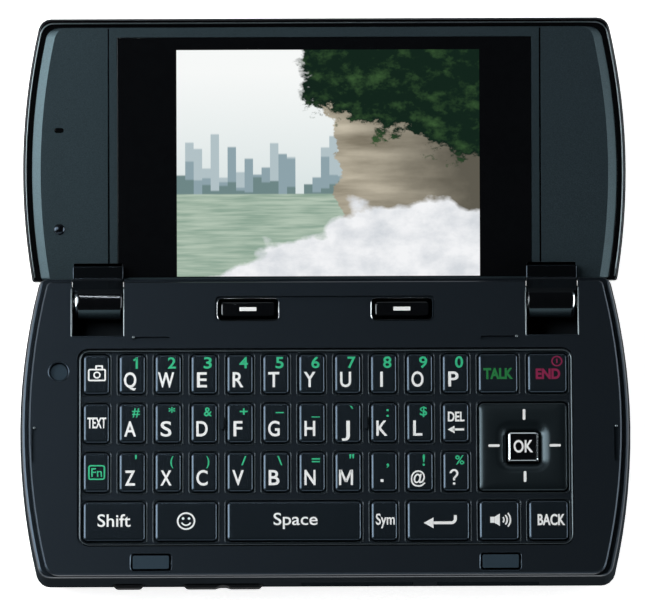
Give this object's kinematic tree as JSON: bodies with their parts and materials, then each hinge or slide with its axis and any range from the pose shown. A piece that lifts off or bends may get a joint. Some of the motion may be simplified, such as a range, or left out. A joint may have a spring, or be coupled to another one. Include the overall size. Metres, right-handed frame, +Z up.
{
  "type": "flip phone",
  "caption": "Wide messaging flip phone, open: a bowed keyboard half with raised letter keys and a four-way pad, and a screen half that folds on two barrel hinges.",
  "frame": {"origin": "centre of the keyboard half's flat underside", "axes": "+Z up off the surface it lies on, +X along the hinge to the right as the keys are read, +Y from the front edge to the hinge"},
  "size_m": [0.1132, 0.1072, 0.0201],
  "materials": {
    "gloss_black": "polished",
    "slate_plastic": "satin, fine speckle",
    "window_glass": "polished",
    "panel_glass": "polished",
    "pin_steel": "ground",
    "case_plastic": "satin",
    "key_plastic": "satin",
    "cell": "satin",
    "board": "satin",
    "soft_rubber": "matte"
  },
  "bodies": {
    "base": {"keyboard_case": "case_plastic", "rear_case": "case_plastic", "battery": "cell", "circuit_board": "board", "rubber_inserts": "soft_rubber", "hinge_pins": "pin_steel"},
    "lid": {"lid_cover": "gloss_black", "lid_bezel": "slate_plastic", "display_window": "window_glass", "display_panel": "panel_glass", "hinge_knuckles": "gloss_black"},
    "battery_cover": {"battery_cover": "case_plastic"},
    "key_dpad": {"key_dpad": "key_plastic"},
    "side_key": {"side_key": "key_plastic"},
    "volume_rocker": {"volume_rocker": "key_plastic"},
    "key_q": {"key_q": "key_plastic"},
    "key_w": {"key_w": "key_plastic"},
    "key_e": {"key_e": "key_plastic"},
    "key_r": {"key_r": "key_plastic"},
    "key_t": {"key_t": "key_plastic"},
    "key_y": {"key_y": "key_plastic"},
    "key_u": {"key_u": "key_plastic"},
    "key_i": {"key_i": "key_plastic"},
    "key_o": {"key_o": "key_plastic"},
    "key_p": {"key_p": "key_plastic"},
    "key_a": {"key_a": "key_plastic"},
    "key_s": {"key_s": "key_plastic"},
    "key_d": {"key_d": "key_plastic"},
    "key_f": {"key_f": "key_plastic"},
    "key_g": {"key_g": "key_plastic"},
    "key_h": {"key_h": "key_plastic"},
    "key_j": {"key_j": "key_plastic"},
    "key_k": {"key_k": "key_plastic"},
    "key_l": {"key_l": "key_plastic"},
    "key_z": {"key_z": "key_plastic"},
    "key_x": {"key_x": "key_plastic"},
    "key_c": {"key_c": "key_plastic"},
    "key_v": {"key_v": "key_plastic"},
    "key_b": {"key_b": "key_plastic"},
    "key_n": {"key_n": "key_plastic"},
    "key_m": {"key_m": "key_plastic"},
    "key_camera": {"key_camera": "key_plastic"},
    "key_text": {"key_text": "key_plastic"},
    "key_delete": {"key_delete": "key_plastic"},
    "key_function": {"key_function": "key_plastic"},
    "key_period": {"key_period": "key_plastic"},
    "key_at": {"key_at": "key_plastic"},
    "key_question": {"key_question": "key_plastic"},
    "key_shift": {"key_shift": "key_plastic"},
    "key_smiley": {"key_smiley": "key_plastic"},
    "key_space": {"key_space": "key_plastic"},
    "key_symbol": {"key_symbol": "key_plastic"},
    "key_enter": {"key_enter": "key_plastic"},
    "key_talk": {"key_talk": "key_plastic"},
    "key_end": {"key_end": "key_plastic"},
    "key_speaker": {"key_speaker": "key_plastic"},
    "key_back": {"key_back": "key_plastic"},
    "key_soft_left": {"key_soft_left": "gloss_black"},
    "key_soft_right": {"key_soft_right": "gloss_black"},
    "key_ok": {"key_ok": "gloss_black"}
  },
  "joints": [
    {"name": "lid_hinge", "type": "hinge", "parent": "base", "child": "lid", "pos_m": [0, 0.02455, 0.0085], "axis": [1, 0, 0], "range_deg": [0, 164]},
    {"name": "battery_cover_slide", "type": "slide", "parent": "base", "child": "battery_cover", "axis": [-1, 0, 0], "range_m": [0, 0.02]},
    {"name": "dpad_rock", "type": "hinge", "parent": "base", "child": "key_dpad", "pos_m": [0.03663, -0.00415, 0.0091], "axis": [1, 0, 0], "range_deg": [-1.2, 1.2], "stiffness_Nm_per_rad": 0.2},
    {"name": "side_key_press", "type": "slide", "parent": "base", "child": "side_key", "axis": [0, 1, 0], "range_m": [0, 0.00035], "stiffness_N_per_m": 600, "springref_m": -0.001},
    {"name": "volume_rock", "type": "hinge", "parent": "base", "child": "volume_rocker", "pos_m": [-0.019, -0.02695, 0.0044], "axis": [0, 0, 1], "range_deg": [-1.2, 1.2], "stiffness_Nm_per_rad": 0.15},
    {"name": "key_q_press", "type": "slide", "parent": "base", "child": "key_q", "axis": [0, 0, -1], "range_m": [0, 0.00035], "stiffness_N_per_m": 600, "springref_m": -0.001},
    {"name": "key_w_press", "type": "slide", "parent": "base", "child": "key_w", "axis": [0, 0, -1], "range_m": [0, 0.00035], "stiffness_N_per_m": 600, "springref_m": -0.001},
    {"name": "key_e_press", "type": "slide", "parent": "base", "child": "key_e", "axis": [0, 0, -1], "range_m": [0, 0.00035], "stiffness_N_per_m": 600, "springref_m": -0.001},
    {"name": "key_r_press", "type": "slide", "parent": "base", "child": "key_r", "axis": [0, 0, -1], "range_m": [0, 0.00035], "stiffness_N_per_m": 600, "springref_m": -0.001},
    {"name": "key_t_press", "type": "slide", "parent": "base", "child": "key_t", "axis": [0, 0, -1], "range_m": [0, 0.00035], "stiffness_N_per_m": 600, "springref_m": -0.001},
    {"name": "key_y_press", "type": "slide", "parent": "base", "child": "key_y", "axis": [0, 0, -1], "range_m": [0, 0.00035], "stiffness_N_per_m": 600, "springref_m": -0.001},
    {"name": "key_u_press", "type": "slide", "parent": "base", "child": "key_u", "axis": [0, 0, -1], "range_m": [0, 0.00035], "stiffness_N_per_m": 600, "springref_m": -0.001},
    {"name": "key_i_press", "type": "slide", "parent": "base", "child": "key_i", "axis": [0, 0, -1], "range_m": [0, 0.00035], "stiffness_N_per_m": 600, "springref_m": -0.001},
    {"name": "key_o_press", "type": "slide", "parent": "base", "child": "key_o", "axis": [0, 0, -1], "range_m": [0, 0.00035], "stiffness_N_per_m": 600, "springref_m": -0.001},
    {"name": "key_p_press", "type": "slide", "parent": "base", "child": "key_p", "axis": [0, 0, -1], "range_m": [0, 0.00035], "stiffness_N_per_m": 600, "springref_m": -0.001},
    {"name": "key_a_press", "type": "slide", "parent": "base", "child": "key_a", "axis": [0, 0, -1], "range_m": [0, 0.00035], "stiffness_N_per_m": 600, "springref_m": -0.001},
    {"name": "key_s_press", "type": "slide", "parent": "base", "child": "key_s", "axis": [0, 0, -1], "range_m": [0, 0.00035], "stiffness_N_per_m": 600, "springref_m": -0.001},
    {"name": "key_d_press", "type": "slide", "parent": "base", "child": "key_d", "axis": [0, 0, -1], "range_m": [0, 0.00035], "stiffness_N_per_m": 600, "springref_m": -0.001},
    {"name": "key_f_press", "type": "slide", "parent": "base", "child": "key_f", "axis": [0, 0, -1], "range_m": [0, 0.00035], "stiffness_N_per_m": 600, "springref_m": -0.001},
    {"name": "key_g_press", "type": "slide", "parent": "base", "child": "key_g", "axis": [0, 0, -1], "range_m": [0, 0.00035], "stiffness_N_per_m": 600, "springref_m": -0.001},
    {"name": "key_h_press", "type": "slide", "parent": "base", "child": "key_h", "axis": [0, 0, -1], "range_m": [0, 0.00035], "stiffness_N_per_m": 600, "springref_m": -0.001},
    {"name": "key_j_press", "type": "slide", "parent": "base", "child": "key_j", "axis": [0, 0, -1], "range_m": [0, 0.00035], "stiffness_N_per_m": 600, "springref_m": -0.001},
    {"name": "key_k_press", "type": "slide", "parent": "base", "child": "key_k", "axis": [0, 0, -1], "range_m": [0, 0.00035], "stiffness_N_per_m": 600, "springref_m": -0.001},
    {"name": "key_l_press", "type": "slide", "parent": "base", "child": "key_l", "axis": [0, 0, -1], "range_m": [0, 0.00035], "stiffness_N_per_m": 600, "springref_m": -0.001},
    {"name": "key_z_press", "type": "slide", "parent": "base", "child": "key_z", "axis": [0, 0, -1], "range_m": [0, 0.00035], "stiffness_N_per_m": 600, "springref_m": -0.001},
    {"name": "key_x_press", "type": "slide", "parent": "base", "child": "key_x", "axis": [0, 0, -1], "range_m": [0, 0.00035], "stiffness_N_per_m": 600, "springref_m": -0.001},
    {"name": "key_c_press", "type": "slide", "parent": "base", "child": "key_c", "axis": [0, 0, -1], "range_m": [0, 0.00035], "stiffness_N_per_m": 600, "springref_m": -0.001},
    {"name": "key_v_press", "type": "slide", "parent": "base", "child": "key_v", "axis": [0, 0, -1], "range_m": [0, 0.00035], "stiffness_N_per_m": 600, "springref_m": -0.001},
    {"name": "key_b_press", "type": "slide", "parent": "base", "child": "key_b", "axis": [0, 0, -1], "range_m": [0, 0.00035], "stiffness_N_per_m": 600, "springref_m": -0.001},
    {"name": "key_n_press", "type": "slide", "parent": "base", "child": "key_n", "axis": [0, 0, -1], "range_m": [0, 0.00035], "stiffness_N_per_m": 600, "springref_m": -0.001},
    {"name": "key_m_press", "type": "slide", "parent": "base", "child": "key_m", "axis": [0, 0, -1], "range_m": [0, 0.00035], "stiffness_N_per_m": 600, "springref_m": -0.001},
    {"name": "key_camera_press", "type": "slide", "parent": "base", "child": "key_camera", "axis": [0, 0, -1], "range_m": [0, 0.00035], "stiffness_N_per_m": 600, "springref_m": -0.001},
    {"name": "key_text_press", "type": "slide", "parent": "base", "child": "key_text", "axis": [0, 0, -1], "range_m": [0, 0.00035], "stiffness_N_per_m": 600, "springref_m": -0.001},
    {"name": "key_delete_press", "type": "slide", "parent": "base", "child": "key_delete", "axis": [0, 0, -1], "range_m": [0, 0.00035], "stiffness_N_per_m": 600, "springref_m": -0.001},
    {"name": "key_function_press", "type": "slide", "parent": "base", "child": "key_function", "axis": [0, 0, -1], "range_m": [0, 0.00035], "stiffness_N_per_m": 600, "springref_m": -0.001},
    {"name": "key_period_press", "type": "slide", "parent": "base", "child": "key_period", "axis": [0, 0, -1], "range_m": [0, 0.00035], "stiffness_N_per_m": 600, "springref_m": -0.001},
    {"name": "key_at_press", "type": "slide", "parent": "base", "child": "key_at", "axis": [0, 0, -1], "range_m": [0, 0.00035], "stiffness_N_per_m": 600, "springref_m": -0.001},
    {"name": "key_question_press", "type": "slide", "parent": "base", "child": "key_question", "axis": [0, 0, -1], "range_m": [0, 0.00035], "stiffness_N_per_m": 600, "springref_m": -0.001},
    {"name": "key_shift_press", "type": "slide", "parent": "base", "child": "key_shift", "axis": [0, 0, -1], "range_m": [0, 0.00035], "stiffness_N_per_m": 600, "springref_m": -0.001},
    {"name": "key_smiley_press", "type": "slide", "parent": "base", "child": "key_smiley", "axis": [0, 0, -1], "range_m": [0, 0.00035], "stiffness_N_per_m": 600, "springref_m": -0.001},
    {"name": "key_space_press", "type": "slide", "parent": "base", "child": "key_space", "axis": [0, 0, -1], "range_m": [0, 0.00035], "stiffness_N_per_m": 600, "springref_m": -0.001},
    {"name": "key_symbol_press", "type": "slide", "parent": "base", "child": "key_symbol", "axis": [0, 0, -1], "range_m": [0, 0.00035], "stiffness_N_per_m": 600, "springref_m": -0.001},
    {"name": "key_enter_press", "type": "slide", "parent": "base", "child": "key_enter", "axis": [0, 0, -1], "range_m": [0, 0.00035], "stiffness_N_per_m": 600, "springref_m": -0.001},
    {"name": "key_talk_press", "type": "slide", "parent": "base", "child": "key_talk", "axis": [0, 0, -1], "range_m": [0, 0.00035], "stiffness_N_per_m": 600, "springref_m": -0.001},
    {"name": "key_end_press", "type": "slide", "parent": "base", "child": "key_end", "axis": [0, 0, -1], "range_m": [0, 0.00035], "stiffness_N_per_m": 600, "springref_m": -0.001},
    {"name": "key_speaker_press", "type": "slide", "parent": "base", "child": "key_speaker", "axis": [0, 0, -1], "range_m": [0, 0.00035], "stiffness_N_per_m": 600, "springref_m": -0.001},
    {"name": "key_back_press", "type": "slide", "parent": "base", "child": "key_back", "axis": [0, 0, -1], "range_m": [0, 0.00035], "stiffness_N_per_m": 600, "springref_m": -0.001},
    {"name": "key_soft_left_press", "type": "slide", "parent": "base", "child": "key_soft_left", "axis": [0, 0, -1], "range_m": [0, 0.00035], "stiffness_N_per_m": 600, "springref_m": -0.001},
    {"name": "key_soft_right_press", "type": "slide", "parent": "base", "child": "key_soft_right", "axis": [0, 0, -1], "range_m": [0, 0.00035], "stiffness_N_per_m": 600, "springref_m": -0.001},
    {"name": "key_ok_press", "type": "slide", "parent": "base", "child": "key_ok", "axis": [0, 0, -1], "range_m": [0, 0.00035], "stiffness_N_per_m": 600, "springref_m": -0.001}
  ]
}
